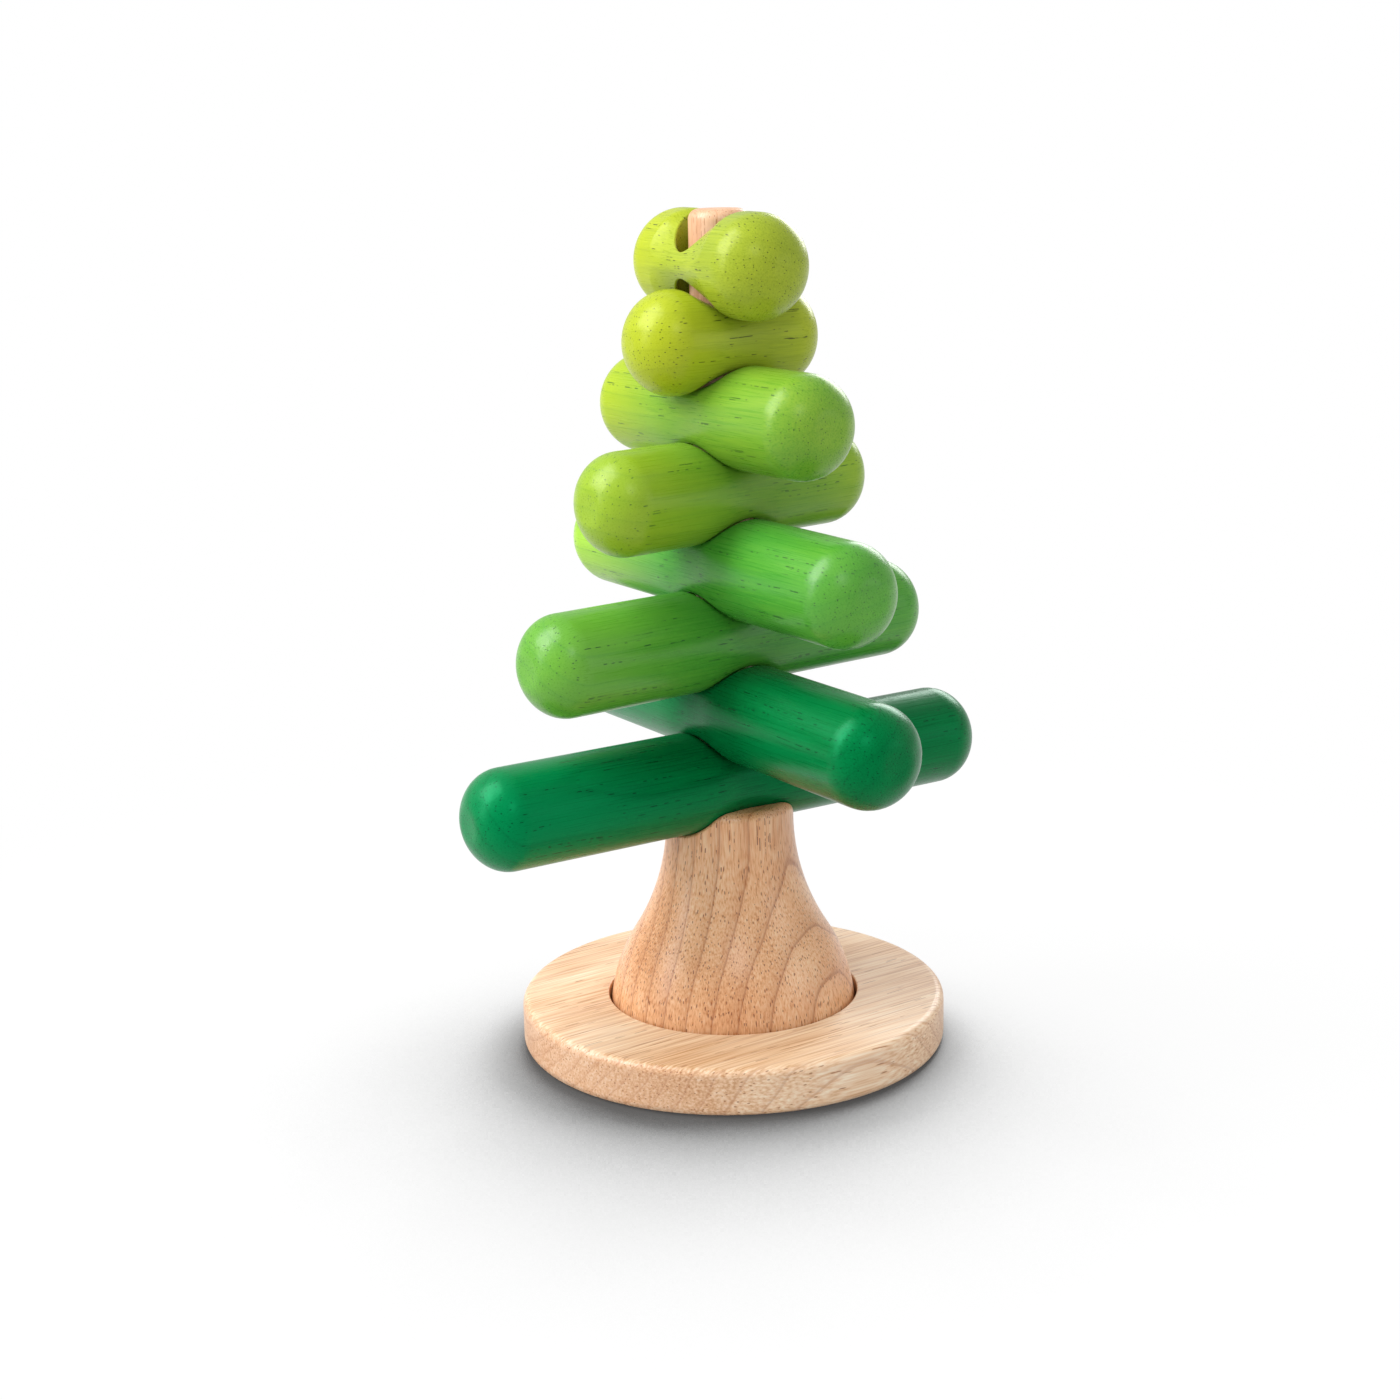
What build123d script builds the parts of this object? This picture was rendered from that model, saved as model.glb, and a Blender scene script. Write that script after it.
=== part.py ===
# Stacking tree toy in turned and sanded wood: a round disc, a bell-shaped trunk that stands
# loose in the disc's dished recess, a rod glued into the trunk, and eight crossed branches.
# Millimetres. Z runs up the rod and the underside of the disc lies at zero.
import os
from math import asin, atan, cos, degrees, hypot, radians, sin, sqrt

from build123d import *

os.makedirs("parts", exist_ok=True)

# Disc
disc_radius = 68.5
disc_height = 15.3
disc_rim_round = 2.6
recess_depth = 8.0
recess_side_gap = 0.6
recess_lip_round = 0.5
dish_radius = 300.0

# Trunk: a belly arc and a flare arc make the bell, and a saddle across its top takes the
# lowest branch
foot_radius = 39.8
foot_round = 4.0
neck_radius = 20.4
bell_height = 66.5
belly_share = 0.42
neck_length = 5.6
dome_radius = 250.0
lip_round = 3.0
saddle_depth = 3.9
saddle_round = 1.0

# Rod
rod_radius = 9.2
rod_top_round = 3.2
rod_proud = 5.0
socket_depth = 42.0
glue_line = 0.05

# Branches: round bars, turned slightly slimmer in the middle, with rounded ends
bar_radius = 16.0
slim_depth = 0.8
slim_reach = 16.5
long_nose = 13.6
long_facet_radius = 5.5
short_nose = 14.2
short_facet_radius = 2.5
facet_round = 8.0

# Saddles above and below a branch's middle: a valley along the branch and a ridge across it
waist_depth = 4.7
valley_radius = 26.0
ridge_radius = 26.0
top_ridge_radius = 16.5
saddle_edge_round = 5.0

# Holes down through the middles; the top branch has a wider one
hole_radius = 11.9
top_hole_radius = 12.8
hole_lip_round = 0.6

# Room left between pieces that rest on one another
seat_gap = 0.15

# From the lowest branch to the top one: the plain round length between the slim middle and
# each nose, and the heading round the rod in degrees
shank_lengths = [64.0, 58.2, 45.1, 46.7, 23.3, 25.0, 1.5, 5.5]
heading_angles = [33.0, -56.5, 37.5, -56.5, 40.0, -55.0, 32.0, -60.0]
short_count = 2

# Places tried along each axis when a branch is set down
seat_samples = 80

cut_overrun = 5.0

waist_half = bar_radius - waist_depth
axle_height = waist_half + valley_radius
slim_turn = 2 * atan(slim_depth / slim_reach)
slim_arc_radius = slim_reach / (2 * sin(slim_turn))


def fall(y, ridge):
    """How far a ridge of this radius has dropped at y from its crest."""
    return ridge - sqrt(ridge**2 - y**2)


def slim(x):
    """How far the turned middle lies inside the round bar, at x along the bar."""
    x = abs(x)
    if x < slim_reach / 2:
        return slim_depth - fall(x, slim_arc_radius)
    return fall(max(slim_reach - x, 0), slim_arc_radius)


def waist_crest(x, y, ridge):
    """Height of a branch's upper side over its centre, x along the branch and y across it."""
    radius = bar_radius - slim(x)
    if abs(y) >= min(radius, ridge):
        return None
    spool = valley_radius + fall(y, ridge)
    round_side = sqrt(radius**2 - y**2)
    if abs(x) >= spool:
        return round_side
    return min(round_side, axle_height - sqrt(spool**2 - x**2))


def seat_rise(under, over):
    """How far the centre of one branch stands over the centre of the branch that it is set
    down on, where the two first touch. There is nothing to touch over either hole."""
    reach = bar_radius * sqrt(2)
    turn = radians(abs(heading_angles[over] - heading_angles[under]))
    opening = max(hole_radii[under], hole_radii[over])
    rise = 0.0
    for i in range(-seat_samples, seat_samples + 1):
        for j in range(-seat_samples, seat_samples + 1):
            x, y = reach * i / seat_samples, reach * j / seat_samples
            if hypot(x, y) < opening:
                continue
            along, across = x * cos(turn) + y * sin(turn), y * cos(turn) - x * sin(turn)
            below = waist_crest(x, y, ridge_radii[under])
            above = waist_crest(along, across, ridge_radii[over])
            if below is not None and above is not None:
                rise = max(rise, below + above)
    return rise


# Heights that follow from the sizes above
recess_radius = foot_radius + recess_side_gap
recess_floor = disc_height - recess_depth
dish_centre = recess_floor + sqrt(dish_radius**2 - recess_radius**2)
dish_low = dish_centre - dish_radius

trunk_low = dish_low + seat_gap
foot_height = trunk_low + dome_radius - sqrt(dome_radius**2 - foot_radius**2)
trunk_top = foot_height + bell_height + neck_length
saddle_centre = trunk_top - saddle_depth
socket_floor = saddle_centre - socket_depth

count = len(shank_lengths)
long_count = count - short_count
noses = [long_nose] * long_count + [short_nose] * short_count
facets = [long_facet_radius] * long_count + [short_facet_radius] * short_count
ridge_radii = [ridge_radius] * (count - 1) + [top_ridge_radius]
hole_radii = [hole_radius] * (count - 1) + [top_hole_radius]

heights = [saddle_centre + waist_half + seat_gap]
for number in range(1, count):
    heights.append(heights[-1] + seat_rise(number - 1, number) + seat_gap)
rod_top = heights[-1] + waist_half + rod_proud


def make_blank(number):
    """One branch before it is bored, lying along X about the origin: the bar is turned, then
    a spool-shaped cutter on an axle across the bar sinks each saddle."""
    nose, facet, ridge = noses[number], facets[number], ridge_radii[number]
    with BuildPart() as blank:
        with BuildSketch(Plane.XY):
            with BuildLine():
                valley = JernArc((0, bar_radius - slim_depth), (1, 0), slim_arc_radius, degrees(slim_turn))
                shoulder = JernArc(valley @ 1, valley % 1, slim_arc_radius, -degrees(slim_turn))
                shank = Line(shoulder @ 1, (slim_reach + shank_lengths[number], bar_radius))
                centre = ((shank @ 1).X, 0)
                facet_angle = degrees(asin(facet / bar_radius))
                cap = EllipticalCenterArc(centre, nose, bar_radius, facet_angle, arc_size=90 - facet_angle)
                Polyline(cap @ 0, ((cap @ 0).X, 0), (0, 0), valley @ 0)
            make_face()
            mirror(about=Plane.YZ)
        revolve(axis=Axis.X)
        fillet(blank.edges().filter_by(GeomType.CIRCLE).group_by(SortBy.RADIUS)[0], radius=facet_round)
        reach = min(bar_radius + cut_overrun, ridge)
        for side in (1, -1):
            with BuildSketch(Plane.YZ):
                with BuildLine():
                    axle, groove = side * axle_height, side * (axle_height + valley_radius)
                    flank = groove + side * fall(reach, ridge)
                    spool = ThreePointArc((-reach, flank), (0, groove), (reach, flank))
                    Polyline(spool @ 1, (reach, axle), (-reach, axle), spool @ 0)
                make_face()
            revolve(axis=Axis((0, 0, axle), (0, 1, 0)), mode=Mode.SUBTRACT)
            fillet(blank.edges(Select.LAST), radius=saddle_edge_round)
    return blank.part


# Disc: turned from one board, with a dished recess for the trunk's domed foot
with BuildPart() as base_disc:
    with BuildSketch(Plane.XY):
        Circle(disc_radius)
    extrude(amount=disc_height)
    rims = base_disc.edges().filter_by(GeomType.CIRCLE)
    fillet(rims, radius=disc_rim_round)
    with BuildSketch(Plane.XZ):
        with BuildLine():
            dish_angle = degrees(asin(recess_radius / dish_radius))
            floor = CenterArc((0, dish_centre), dish_radius, -90, dish_angle)
            above_disc = disc_height + cut_overrun
            Polyline(floor @ 1, (recess_radius, above_disc), (0, above_disc), floor @ 0)
        make_face()
    revolve(axis=Axis.Z, mode=Mode.SUBTRACT)
    lip = base_disc.edges().filter_by(GeomType.CIRCLE).group_by(Axis.Z)[-1]
    fillet(lip.sort_by(SortBy.RADIUS)[0], radius=recess_lip_round)
base_disc.part.label = "base_disc"

# Trunk: the bell is turned first, then the lowest branch's own shape is sunk across its top
# for the saddle, and the socket is bored for the rod
bell_turn = 2 * atan((foot_radius - neck_radius) / bell_height)
bell_radii = bell_height / sin(bell_turn)
belly_radius = belly_share * bell_radii
flare_radius = bell_radii - belly_radius

with BuildPart() as trunk:
    with BuildSketch(Plane.XZ):
        with BuildLine():
            dome_angle = degrees(asin(foot_radius / dome_radius))
            dome = CenterArc((0, trunk_low + dome_radius), dome_radius, -90, dome_angle)
            belly = JernArc(dome @ 1, (0, 1), belly_radius, degrees(bell_turn))
            flare = JernArc(belly @ 1, belly % 1, flare_radius, -degrees(bell_turn))
            Polyline(flare @ 1, (neck_radius, trunk_top), (0, trunk_top), dome @ 0)
        make_face()
    revolve(axis=Axis.Z)
    rings = trunk.edges().filter_by(lambda edge: edge.is_closed).sort_by(Axis.Z)
    fillet(rings[-1], radius=lip_round)
    rings = trunk.edges().filter_by(lambda edge: edge.is_closed).sort_by(Axis.Z)
    fillet(rings[0], radius=foot_round)
    with Locations(Location((0, 0, saddle_centre + waist_half), (0, 0, heading_angles[0]))):
        add(make_blank(0), mode=Mode.SUBTRACT)
    fillet(trunk.edges(Select.LAST), radius=saddle_round)
    with BuildSketch(Plane.XY.offset(trunk_top)):
        Circle(rod_radius + glue_line)
    extrude(amount=socket_floor - trunk_top, mode=Mode.SUBTRACT)
trunk.part.label = "trunk"

# Rod: a plain dowel with its top edge rounded over
with BuildPart() as rod:
    with BuildSketch(Plane.XY.offset(socket_floor + glue_line)):
        Circle(rod_radius)
    extrude(amount=rod_top - socket_floor - glue_line)
    fillet(rod.edges().filter_by(GeomType.CIRCLE).sort_by(Axis.Z)[-1], radius=rod_top_round)
rod.part.label = "rod"

for piece in (base_disc, trunk, rod):
    export_step(piece.part, f"parts/{piece.part.label}.step")

# Branches: each is bored for the rod, then set at its height and heading
for number, height in enumerate(heights):
    with BuildPart() as bored:
        add(make_blank(number))
        Hole(radius=hole_radii[number])
        lips = bored.edges(Select.LAST).filter_by(GeomType.LINE, reverse=True)
        fillet(lips, radius=hole_lip_round)
    with BuildPart() as branch:
        with Locations(Location((0, 0, height), (0, 0, heading_angles[number]))):
            add(bored.part)
    branch.part.label = f"branch_{number + 1}"
    export_step(branch.part, f"parts/{branch.part.label}.step")
    print(branch.part.label, "centre height", round(height, 2))

print("saddle centre", round(saddle_centre, 2), "rod top", round(rod_top, 2))
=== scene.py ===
import bpy
import math
import numpy as np
from mathutils import Matrix, Vector


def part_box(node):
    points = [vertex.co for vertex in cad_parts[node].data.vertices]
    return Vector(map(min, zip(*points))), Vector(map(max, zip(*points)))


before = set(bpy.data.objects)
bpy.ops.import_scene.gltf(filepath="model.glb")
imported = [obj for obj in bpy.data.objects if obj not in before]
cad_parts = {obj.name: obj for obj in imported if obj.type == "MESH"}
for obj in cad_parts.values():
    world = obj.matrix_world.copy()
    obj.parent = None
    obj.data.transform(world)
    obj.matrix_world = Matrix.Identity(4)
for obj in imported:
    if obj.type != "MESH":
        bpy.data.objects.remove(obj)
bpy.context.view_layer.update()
print("frame loaded:", len(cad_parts), "nodes")


def linear(hexColour):
    # sRGB hex to the linear colour that the nodes want
    srgb = [int(hexColour[i:i + 2], 16) / 255 for i in (1, 3, 5)]
    return [c / 12.92 if c <= 0.04045 else ((c + 0.055) / 1.055) ** 2.4 for c in srgb] + [1.0]


def grey(value):
    return [value, value, value, 1.0]


def add(tree, kind, links=None, values=None, stops=None, **settings):
    # one node: its settings, the values of its sockets, the links that come in and, on a
    # colour ramp, its stops
    node = tree.nodes.new(kind)
    for name, value in settings.items():
        setattr(node, name, value)
    for socket, value in (values or {}).items():
        node.inputs[socket].default_value = value
    for socket, source in (links or {}).items():
        tree.links.new(source, node.inputs[socket])
    for index, (position, colour) in enumerate(stops or []):
        elements = node.color_ramp.elements
        element = elements[index] if index < 2 else elements.new(position)
        element.position = position
        element.color = colour
    return node


def newMaterial(name):
    material = bpy.data.materials.new(name)
    material.use_nodes = True
    material.node_tree.nodes.clear()
    return material, material.node_tree


# Rubberwood: a pale hardwood. Its pores run along the grain in broken lines, so the eye sees
# short dark dashes on the sides and dots on end grain, between faint, thin growth rings.
# Lengths are in mm. Real pores are about 0.2 mm wide and real fibres far finer: both are
# drawn as coarse as they need to show
rubberwood = {
    "poreSpacing": 1.2,      # between lines of pores
    "poreRadius": 0.13,
    "poreEdge": (0.7, 1.5),  # where a pore begins to fade and is gone, in radii
    "poreLength": 2.6,       # how long a dash gets before its line breaks
    "breakWidth": 1 / 0.7,   # how far a break reaches across the lines
    "poreGap": 0.5,          # how much of a line is left out, 0.4 few gaps, 0.6 many
    "gapEdge": 0.05,         # how softly a dash ends, on the scale of poreGap
    "endPores": 0.15,        # how much wider pores look where they are cut straight across
    "fibreWidth": 0.45,
    "fibreLength": 16.0,
    "patchWidth": 24.0,      # slow changes of tone in the board
    "patchLength": 60.0,
    "toneStops": (0.32, 0.5, 0.68),  # where dark, mid and light lie in fibres and patches
    "bend": 2.4,             # how far the grain wanders, and over what width and length
    "bendWidth": 22.0,
    "bendLength": 60.0,
    "earlyWood": [(0.0, 0.25), (0.12, 0.0), (0.55, 0.06)],  # share of a ring and darkness there
    "ringEdge": 0.9,         # the share where dark late wood begins
    "lateWood": [(0.0, 0.35), (0.05, 1.0)],  # share past ringEdge and darkness there
    "ringEnd": (1.0, 0.85),  # the same, where the next ring begins
    "endGrain": 0.0,         # how far end grain goes over to the darker tone of the rings
    "endCut": (0.35, 0.95),  # cosine to the grain where end grain begins and where it is full
    "peel": 1.1,             # waves of the lacquer film in each mm
    "glossBand": (0.3, 0.7),  # fibre tones between which the roughness changes
    "glossSpread": 0.05,     # by how much, either way
    "reliefDepth": 0.0001,   # metres
    "ior": 1.5,              # lacquer
    "seedShift": (37.0, 11.0, 23.0),  # how far into the wood each seed moves a piece
}


def woodMaterial(name, look):
    wood = {**rubberwood, **look}
    material, tree = newMaterial(name)

    # millimetres in the piece's own frame, with Z along the grain
    side = math.radians(wood["heading"])
    tilt = 0.0 if wood["upright"] else math.radians(90)
    place = add(tree, "ShaderNodeTexCoord").outputs["Object"]
    local = add(tree, "ShaderNodeMapping", {"Vector": place},
                {"Location": wood["centre"], "Rotation": (0.0, tilt, side),
                 "Scale": (0.001, 0.001, 0.001)}, vector_type="TEXTURE").outputs[0]
    own = add(tree, "ShaderNodeVectorMath", {0: local},
              {1: [step * wood["seed"] for step in wood["seedShift"]]}, operation="ADD").outputs[0]

    # noises drawn out along the grain: how wide and how long one change is, and its detail
    noise = {}
    for kind, width, length, detail in (("bend", wood["bendWidth"], wood["bendLength"], 1.0),
                                        ("breaks", wood["breakWidth"], wood["poreLength"], 0.0),
                                        ("fibres", wood["fibreWidth"], wood["fibreLength"], 2.0),
                                        ("patches", wood["patchWidth"], wood["patchLength"], 2.0)):
        drawn = add(tree, "ShaderNodeVectorMath", {0: own},
                    {1: (1 / width, 1 / width, 1 / length)}, operation="MULTIPLY")
        noise[kind] = add(tree, "ShaderNodeTexNoise", {"Vector": drawn.outputs[0]},
                          {"Scale": 1.0, "Detail": detail}).outputs
    fibres = noise["fibres"]["Fac"]

    # the grain wanders, by at most the bend either way from the noise's middle of 0.5
    offset = add(tree, "ShaderNodeVectorMath", {0: noise["bend"]["Color"]},
                 {1: (0.5, 0.5, 0.5)}, operation="SUBTRACT")
    bent = add(tree, "ShaderNodeVectorMath", {0: offset.outputs[0], 2: local},
               {1: (2 * wood["bend"], 2 * wood["bend"], 0.0)}, operation="MULTIPLY_ADD").outputs[0]

    # growth rings round a pith that lies outside the piece
    across = add(tree, "ShaderNodeVectorMath", {0: bent}, {1: (*wood["pith"], 0.0)},
                 operation="SUBTRACT")
    flat = add(tree, "ShaderNodeVectorMath", {0: across.outputs[0]},
               {1: (1.0, 1.0, wood["ringSlope"])}, operation="MULTIPLY")
    radius = add(tree, "ShaderNodeVectorMath", {0: flat.outputs[0]}, operation="LENGTH")
    rings = add(tree, "ShaderNodeMath", {0: radius.outputs["Value"]}, {1: wood["ringSpacing"]},
                operation="DIVIDE")
    phase = add(tree, "ShaderNodeMath", {0: rings.outputs[0]}, operation="FRACT")
    late = [(wood["ringEdge"] + share, dark) for share, dark in wood["lateWood"]]
    ring = [(share, grey(dark)) for share, dark in wood["earlyWood"] + late + [wood["ringEnd"]]]
    darkRing = add(tree, "ShaderNodeValToRGB", {"Fac": phase.outputs[0]}, None, ring)

    # where the surface cuts the grain straight across it is end grain
    grain = (0.0, 0.0, 1.0) if wood["upright"] else (math.cos(side), math.sin(side), 0.0)
    facing = add(tree, "ShaderNodeNewGeometry").outputs["Normal"]
    cut = add(tree, "ShaderNodeVectorMath", {0: facing}, {1: grain}, operation="DOT_PRODUCT")
    square = add(tree, "ShaderNodeMath", {0: cut.outputs["Value"]}, operation="ABSOLUTE")
    ends = add(tree, "ShaderNodeMapRange", {"Value": square.outputs[0]},
               {"From Min": wood["endCut"][0], "From Max": wood["endCut"][1]},
               interpolation_type="SMOOTHSTEP").outputs[0]

    # pores: lines along the grain, broken into dashes
    cells = add(tree, "ShaderNodeTexVoronoi", {"Vector": bent}, {"Scale": 1 / wood["poreSpacing"]},
                voronoi_dimensions="2D", feature="F1")
    shrink = add(tree, "ShaderNodeMapRange", {"Value": ends},
                 {"To Min": 1.0, "To Max": 1.0 - wood["endPores"]})
    nearest = add(tree, "ShaderNodeMath", {0: cells.outputs["Distance"], 1: shrink.outputs[0]},
                  operation="MULTIPLY")
    size = wood["poreRadius"] / wood["poreSpacing"]
    lines = add(tree, "ShaderNodeMapRange", {"Value": nearest.outputs[0]},
                {"From Min": wood["poreEdge"][0] * size, "From Max": wood["poreEdge"][1] * size,
                 "To Min": 1.0, "To Max": 0.0}, interpolation_type="SMOOTHSTEP")
    kept = add(tree, "ShaderNodeMapRange", {"Value": noise["breaks"]["Fac"]},
               {"From Min": wood["poreGap"], "From Max": wood["poreGap"] + wood["gapEdge"]},
               interpolation_type="SMOOTHSTEP")
    pores = add(tree, "ShaderNodeMath", {0: lines.outputs[0], 1: kept.outputs[0]},
                operation="MULTIPLY").outputs[0]

    # fibres and broad patches give the tone
    mixed = add(tree, "ShaderNodeMix", {2: fibres, 3: noise["patches"]["Fac"]},
                {0: wood["patchShare"]}, data_type="FLOAT")
    tones = [linear(wood[tone]) for tone in ("dark", "mid", "light")]
    colour = add(tree, "ShaderNodeValToRGB", {"Fac": mixed.outputs[0]}, None,
                 list(zip(wood["toneStops"], tones))).outputs[0]

    # painted light: a bar's tone goes over to a lighter, yellower one towards its ends, most at
    # the left end, where the lamp from the left falls
    if "litEndDrifts" in wood:
        along = add(tree, "ShaderNodeSeparateXYZ", {0: local}).outputs["Z"]
        litEndShares = [add(tree, "ShaderNodeMapRange", {"Value": along},
                      {"From Min": start, "From Max": stop, "To Max": strength},
                      interpolation_type="SMOOTHSTEP").outputs[0]
                  for start, stop, strength in wood["litEndDrifts"]]
        litEndShare = add(tree, "ShaderNodeMath", dict(enumerate(litEndShares)), operation="ADD")
        colour = add(tree, "ShaderNodeMix", {0: litEndShare.outputs[0], 6: colour},
                     {7: linear(wood["end"])}, data_type="RGBA").outputs[2]

    # darker over that: end grain, late wood and pores
    for part, strength, shade in ((ends, wood["endGrain"], "ring"),
                                  (darkRing.outputs[0], wood["ringStrength"], "ring"),
                                  (pores, wood["poreStrength"], "pore")):
        share = add(tree, "ShaderNodeMath", {0: part}, {1: strength}, operation="MULTIPLY")
        colour = add(tree, "ShaderNodeMix", {0: share.outputs[0], 6: colour},
                     {7: linear(wood[shade])}, data_type="RGBA").outputs[2]

    # pores stay a little open under the lacquer, and the fibres show faintly in its gloss
    peel = add(tree, "ShaderNodeTexNoise", {"Vector": own},
               {"Scale": wood["peel"], "Detail": 1.0}).outputs["Fac"]
    uneven = add(tree, "ShaderNodeMath", {0: fibres, 1: peel}, operation="ADD")
    height = add(tree, "ShaderNodeMath", {0: uneven.outputs[0], 1: pores}, operation="SUBTRACT")
    relief = add(tree, "ShaderNodeBump", {"Height": height.outputs[0]},
                 {"Strength": wood["relief"], "Distance": wood["reliefDepth"]})
    gloss = add(tree, "ShaderNodeMapRange", {"Value": fibres},
                {"From Min": wood["glossBand"][0], "From Max": wood["glossBand"][1],
                 "To Min": wood["roughness"] - wood["glossSpread"],
                 "To Max": wood["roughness"] + wood["glossSpread"]})
    shader = add(tree, "ShaderNodeBsdfPrincipled",
                 {"Base Color": colour, "Roughness": gloss.outputs[0],
                  "Normal": relief.outputs[0]},
                 {"IOR": wood["ior"], "Specular IOR Level": wood["specular"],
                  "Specular Tint": linear(wood["sheen"])})
    add(tree, "ShaderNodeOutputMaterial", {"Surface": shader.outputs[0]})
    return material


def dress(node, material):
    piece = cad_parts[node]
    piece.data.materials.clear()
    piece.data.materials.append(material)
    for polygon in piece.data.polygons:
        polygon.material_index = 0


# Bare pieces: turned, sanded and finished in a clear satin lacquer. To the eye that is warm
# straw-coloured wood with its pores still a little open under a soft, broad gloss.
# The grain runs up the piece or lies along its heading, in degrees. The rings go round the
# pith, in mm off the piece's middle, and ringSlope tapers them along the grain. Sheen is the
# tint of the gloss, and each seed takes another part of the wood
bareWood = {
    "pore": "#9a5a2e", "sheen": "#ffffff", "roughness": 0.4, "specular": 0.6, "relief": 0.3,
    "centre": (0.0, 0.0, 0.0),
}
disc = {
    "dark": "#c38a57", "mid": "#ecc7a2", "light": "#fae8cf", "ring": "#bd8560",
    "upright": False, "heading": 35.0, "pith": (-46.0, 30.0), "seed": 1.0,
    "ringSpacing": 5.0, "ringSlope": 0.02, "ringStrength": 0.5, "endGrain": 0.4,
    "poreStrength": 0.8, "poreSpacing": 1.5, "poreRadius": 0.16, "poreLength": 6.0,
    "patchShare": 0.4, "bend": 3.0, "fibreLength": 30.0, "fibreWidth": 0.7,
}
trunk = {
    "dark": "#c88551", "mid": "#e6ae7e", "light": "#f4d0a9", "ring": "#a45f30",
    "pore": "#83431a", "roughness": 0.3, "specular": 0.65,
    "upright": True, "heading": -28.0, "pith": (-170.0, 0.0), "seed": 2.0,
    "ringSpacing": 7.4, "ringSlope": 0.0, "ringStrength": 0.7, "ringEdge": 0.92,
    "endGrain": 0.2, "poreStrength": 1.0, "poreSpacing": 1.1, "poreRadius": 0.15,
    "poreLength": 1.6, "poreGap": 0.47, "patchShare": 0.36, "bend": 2.0, "fibreLength": 9.0,
}
rod = {
    "dark": "#d09a70", "mid": "#e2b490", "light": "#edc6a6", "ring": "#bd7f52",
    "upright": True, "heading": 40.0, "pith": (-60.0, 20.0), "seed": 3.0,
    "ringSpacing": 5.0, "ringSlope": 0.0, "ringStrength": 0.4, "poreStrength": 0.7,
    "patchShare": 0.5,
}
for node, look in (("base_disc", disc), ("trunk", trunk), ("rod", rod)):
    dress(node, woodMaterial(node + " rubberwood, turned and lacquered", {**bareWood, **look}))
print("bare wood dressed")

# Branches: water dye that sinks into the wood, then satin lacquer. To the eye the colour is
# full and even, with the grain and pores a little darker in it and a tinted gloss. On most bars
# a lighter, yellower tone is painted towards the ends, most at the left: painted light
# each dye's end is the lighter, yellower tone of the painted light at the bars' ends
dyes = {
    "darkGreen": {"dark": "#005729", "mid": "#006b34", "light": "#00763c", "end": "#00834a",
                  "ring": "#004b25", "pore": "#002c14", "sheen": "#40ffb4"},
    "midGreen": {"dark": "#348a2a", "mid": "#449630", "light": "#56a232", "end": "#9ccc34",
                 "ring": "#2f832b", "pore": "#184a1d", "sheen": "#ffffff"},
    "lightGreen": {"dark": "#5b962a", "mid": "#71a22e", "light": "#84ad30", "end": "#a3b920",
                   "ring": "#5f9022", "pore": "#365f1e", "sheen": "#fdffd6"},
    "limeGreen": {"dark": "#879c29", "mid": "#98aa2b", "light": "#a8b72d", "end": "#aeba14",
                  "ring": "#80921c", "pore": "#363f0c", "sheen": "#fcffb8"},
}
dyedWood = {
    "upright": False, "roughness": 0.3, "specular": 0.36, "relief": 0.25,
    "ringSpacing": 5.5, "ringSlope": 0.03, "ringStrength": 0.25,
    "poreSpacing": 1.4, "poreLength": 2.0, "poreGap": 0.52, "poreStrength": 1.0,
    "patchShare": 0.5,
}
branches = {
    "shades": ["darkGreen", "darkGreen", "midGreen", "midGreen",
               "lightGreen", "lightGreen", "limeGreen", "limeGreen"],  # from the bottom
    # how far the tone goes over to the painted-light end tone, at the left and at the right end
    "leftStrengths": [0.6, 1.0, 0.25, 1.0, 0.5, 1.0, 0.6, 1.0],
    "rightStrengths": [0.0, 0.0, 0.07, 0.1, 0.4, 0.0, 0.5, 0.0],
    "leftDrift": (-0.05, -0.9),  # where that begins and is full, in half lengths of the bar
    "rightDrift": (0.35, 1.0),
    "seed": (5.0, 1.7),          # of the lowest one, and the step to each next
    "pithX": (30.0, 6.0),        # likewise
    "pithY": (40.0, -9.0),
}
for index, shade in enumerate(branches["shades"]):
    node = "branch_%d" % (index + 1)
    points = np.array([vertex.co[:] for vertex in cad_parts[node].data.vertices])
    spread = np.cov(points[:, :2].T)  # its long axis is the way the bar lies
    heading = 0.5 * math.atan2(2 * spread[0, 1], spread[0, 0] - spread[1, 1])
    along = points[:, 0] * math.cos(heading) + points[:, 1] * math.sin(heading)
    halfLength = 1000 * float(abs(along).max())  # mm
    low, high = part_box(node)
    seed, pithX, pithY = (branches[key][0] + branches[key][1] * index
                          for key in ("seed", "pithX", "pithY"))
    # the painted light at each end of this bar: where it begins and is full, in mm, and how strong
    litEndDrifts = []
    for end in ("left", "right"):
        begins, full = (share * halfLength for share in branches[end + "Drift"])
        litEndDrifts.append((begins, full, branches[end + "Strengths"][index]))
    look = {**dyedWood, **dyes[shade], "heading": math.degrees(heading),
            "centre": (0.0, 0.0, (low.z + high.z) / 2), "seed": seed, "pith": (pithX, pithY),
            "litEndDrifts": litEndDrifts}
    dress(node, woodMaterial("%s dyed rubberwood, satin lacquer %d" % (shade, index + 1), look))
print("branches dressed")

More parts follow.
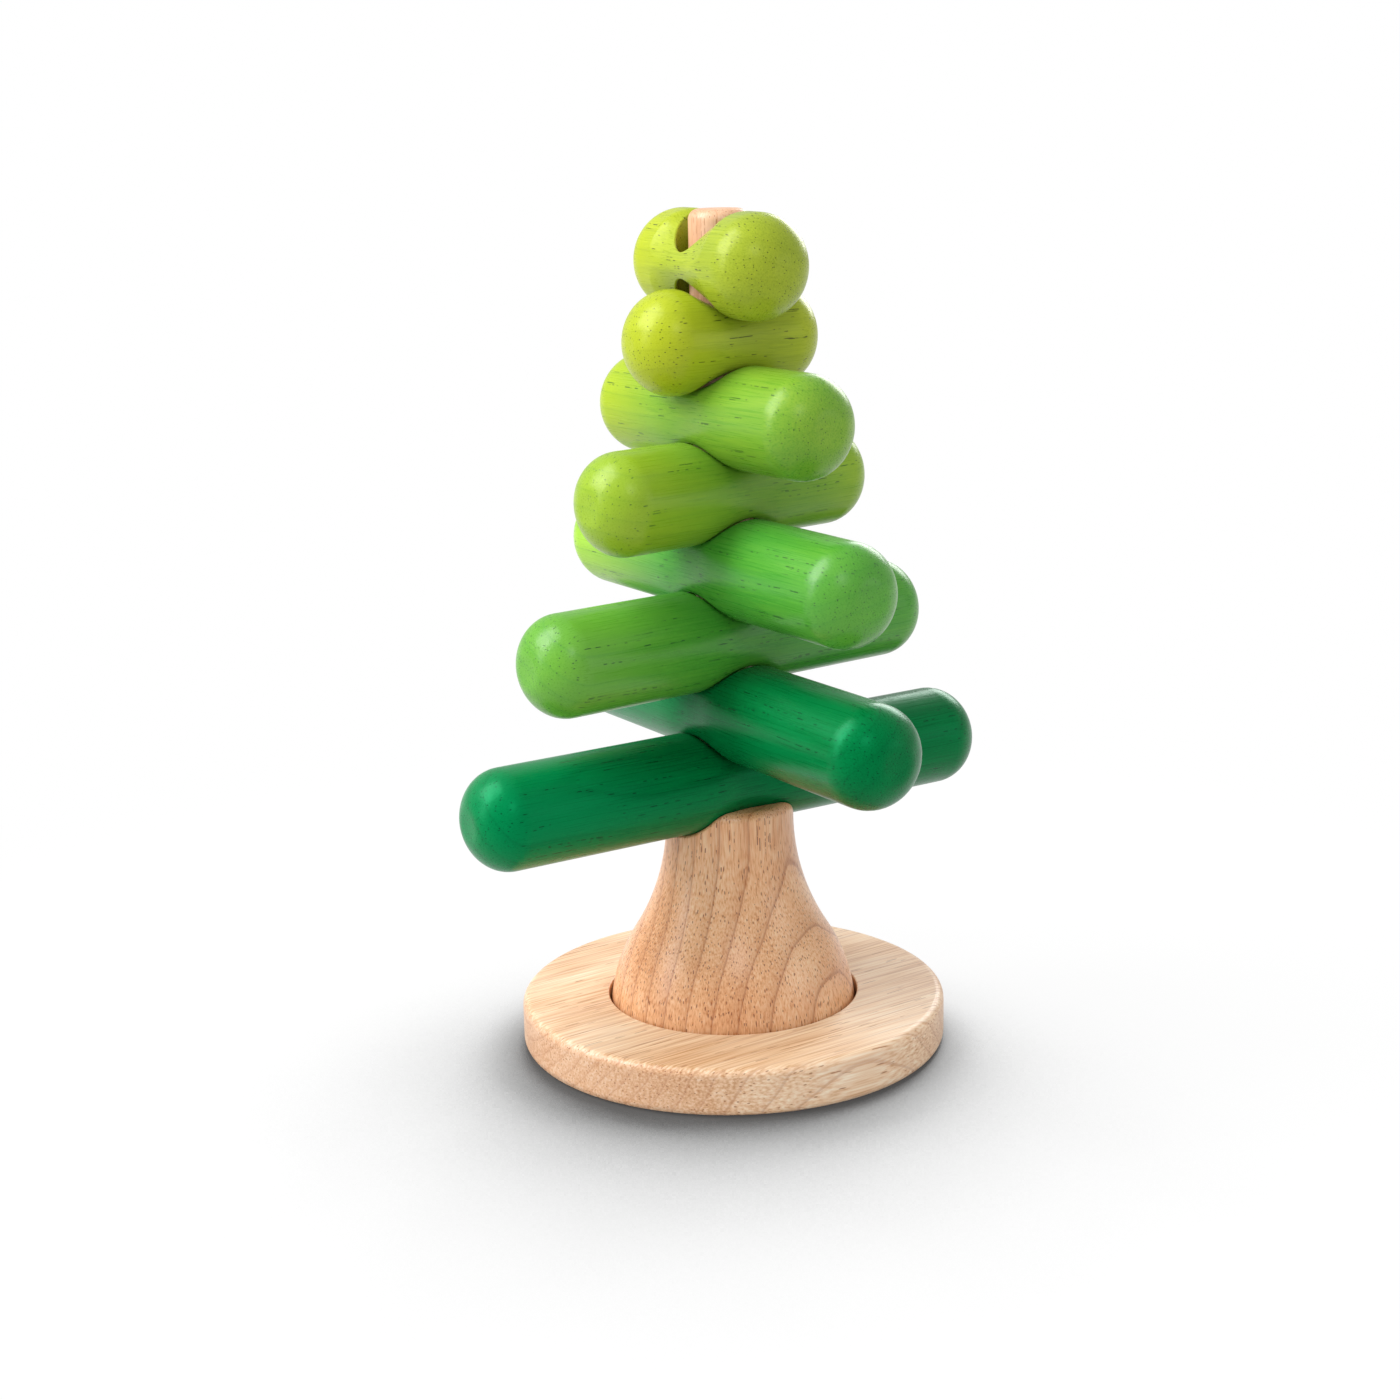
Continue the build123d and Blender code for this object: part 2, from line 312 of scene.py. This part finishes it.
# Floor: white paper, matt, that runs out into the white backdrop. What the camera and the
# lacquer's reflections see on it is mostly a painted shadow: the paper glows, darker where it is
# closed in towards the back, so that the shade falls forwards; the lamps' real shadow shows only
# in part
floor = {
    "size": 8.0, "drop": 0.0003,                # metres
    "albedo": 0.55, "seenAlbedo": 0.9,          # for light that bounces, and as it is seen
    "fadeFrom": 0.17, "fadeTo": 0.40,           # metres from the middle, into the backdrop
    "shadowLean": (0.12, 0.55, 0.83),         # the way the painted shadow looks for cover, tilted back; no light comes from there
    "shadowReach": 0.22, "shadowSamples": 16,   # metres, rays
    "softShare": 0.94,                          # of the painted shadow, the rest is the lamps' real one
    "shadow": [(0.45, 0.06), (0.55, 0.28), (0.65, 0.50), (0.75, 0.78), (0.80, 0.88),
               (0.86, 0.97), (0.96, 1.0)],      # how open the paper lies, how bright its painted shadow then is
}
bpy.ops.mesh.primitive_plane_add(size=floor["size"], location=(0, 0, -floor["drop"]))
ground = bpy.context.object
ground.name = "floor"
material, tree = newMaterial("white paper floor, matt")
path = add(tree, "ShaderNodeLightPath").outputs
eye = add(tree, "ShaderNodeMath", {0: path["Is Camera Ray"], 1: path["Is Glossy Ray"]},
          operation="MAXIMUM")
seen = eye.outputs[0]
white = add(tree, "ShaderNodeMix", {0: seen}, {2: floor["albedo"], 3: floor["seenAlbedo"]},
            data_type="FLOAT")
paper = add(tree, "ShaderNodeBsdfDiffuse", {"Color": white.outputs[0]})
lean = add(tree, "ShaderNodeCombineXYZ", None, dict(enumerate(floor["shadowLean"])))
# painted shadow: how closed in the paper is, looked for tilted towards the back, sets how brightly
# it glows
cover = add(tree, "ShaderNodeAmbientOcclusion", {"Normal": lean.outputs[0]},
            {"Distance": floor["shadowReach"]}, samples=floor["shadowSamples"])
soft = add(tree, "ShaderNodeValToRGB", {"Fac": cover.outputs["AO"]}, None,
           [(openness, grey(bright)) for openness, bright in floor["shadow"]])
paintedShadowGlow = add(tree, "ShaderNodeEmission", {"Color": soft.outputs[0]}, {"Strength": 1.0})
softSeen = add(tree, "ShaderNodeMath", {0: seen}, {1: floor["softShare"]}, operation="MULTIPLY")
shaded = add(tree, "ShaderNodeMixShader",
             {0: softSeen.outputs[0], 1: paper.outputs[0], 2: paintedShadowGlow.outputs[0]})
blank = add(tree, "ShaderNodeEmission", None, {"Color": grey(1.0), "Strength": 1.0})
spot = add(tree, "ShaderNodeTexCoord").outputs["Object"]
away = add(tree, "ShaderNodeVectorMath", {0: spot}, operation="LENGTH")
fade = add(tree, "ShaderNodeMapRange", {"Value": away.outputs["Value"]},
           {"From Min": floor["fadeFrom"], "From Max": floor["fadeTo"]},
           interpolation_type="SMOOTHERSTEP")
fadeSeen = add(tree, "ShaderNodeMath", {0: fade.outputs[0], 1: seen}, operation="MULTIPLY")
surface = add(tree, "ShaderNodeMixShader",
              {0: fadeSeen.outputs[0], 1: shaded.outputs[0], 2: blank.outputs[0]})
add(tree, "ShaderNodeOutputMaterial", {"Surface": surface.outputs[0]})
ground.data.materials.append(material)
print("floor laid")

# World: the camera sees a white backdrop, at a strength of 1. As a light it is an even pale
# room, a shade brighter on the camera's side, towards -Y
room = {"front": 0.68, "back": 0.60, "turnFrom": -0.2, "turnTo": 0.6, "seen": 1.0}
world = bpy.data.worlds.new("studio")
bpy.context.scene.world = world
world.use_nodes = True
tree = world.node_tree
tree.nodes.clear()
direction = add(tree, "ShaderNodeTexCoord").outputs["Generated"]
axes = add(tree, "ShaderNodeSeparateXYZ", {0: direction})
lit = add(tree, "ShaderNodeMapRange", {"Value": axes.outputs["Y"]},
          {"From Min": room["turnFrom"], "From Max": room["turnTo"],
           "To Min": room["front"], "To Max": room["back"]}, interpolation_type="SMOOTHSTEP")
rays = add(tree, "ShaderNodeLightPath")
strength = add(tree, "ShaderNodeMix", {0: rays.outputs["Is Camera Ray"], 2: lit.outputs[0]},
               {3: room["seen"]}, data_type="FLOAT")
sky = add(tree, "ShaderNodeBackground", {"Strength": strength.outputs[0]}, {"Color": grey(1.0)})
add(tree, "ShaderNodeOutputWorld", {"Surface": sky.outputs[0]})
print("world set")

# Lamps, each aimed at the middle of the tree: where it stands, its width and height, its watts
lamps = {
    "softboxLeft": {"at": (-0.66, -0.08, 0.86), "size": (0.60, 0.75), "watts": 9.6},
    "stripLeft": {"at": (-0.98, -0.34, 0.60), "size": (0.24, 0.90), "watts": 3.2},
    "rimRight": {"at": (0.46, 1.00, 0.56), "size": (0.60, 0.45), "watts": 4.6},
    "fillFront": {"at": (0.12, -0.95, 0.92), "size": (0.35, 0.35), "watts": 1.7},
    "cardRight": {"at": (0.95, -0.40, 0.36), "size": (0.55, 0.40), "watts": 0.7},
}
treeMiddle = Vector((0, 0, 0.13))
for name, lamp in lamps.items():
    light = bpy.data.lights.new(name, "AREA")
    light.shape = "RECTANGLE"
    light.size, light.size_y = lamp["size"]
    light.energy = lamp["watts"]
    holder = bpy.data.objects.new(name, light)
    bpy.context.collection.objects.link(holder)
    holder.location = lamp["at"]
    aim = treeMiddle - Vector(lamp["at"])
    holder.rotation_euler = aim.to_track_quat("-Z", "Y").to_euler()
print("lamps set")

# Camera, as the photograph was taken: metres, degrees, pixels and, for the sensor, mm
view = {"at": (0.0, -0.7306, 0.2992), "pitch": -14.343, "yaw": -0.683, "roll": -1.267,
        "focalPixels": 2380.0, "imagePixels": 1400.0, "sensor": 36.0, "clipEnd": 50.0}
pitch, yaw, roll = (math.radians(view[key]) for key in ("pitch", "yaw", "roll"))
forward = Vector((math.sin(yaw) * math.cos(pitch), math.cos(yaw) * math.cos(pitch),
                  math.sin(pitch)))
level = Vector((math.cos(yaw), -math.sin(yaw), 0.0))
upward = level.cross(forward)
right = math.cos(roll) * level + math.sin(roll) * upward
top = -math.sin(roll) * level + math.cos(roll) * upward
cameraData = bpy.data.cameras.new("camera")
cameraData.sensor_width = view["sensor"]
cameraData.lens = view["sensor"] * view["focalPixels"] / view["imagePixels"]
cameraData.clip_end = view["clipEnd"]
camera = bpy.data.objects.new("camera", cameraData)
bpy.context.collection.objects.link(camera)
placed = Matrix((right, top, -forward)).transposed().to_4x4()
placed.translation = view["at"]
camera.matrix_world = placed
bpy.context.scene.camera = camera
bpy.context.scene.view_settings.view_transform = "Standard"
print("camera placed")
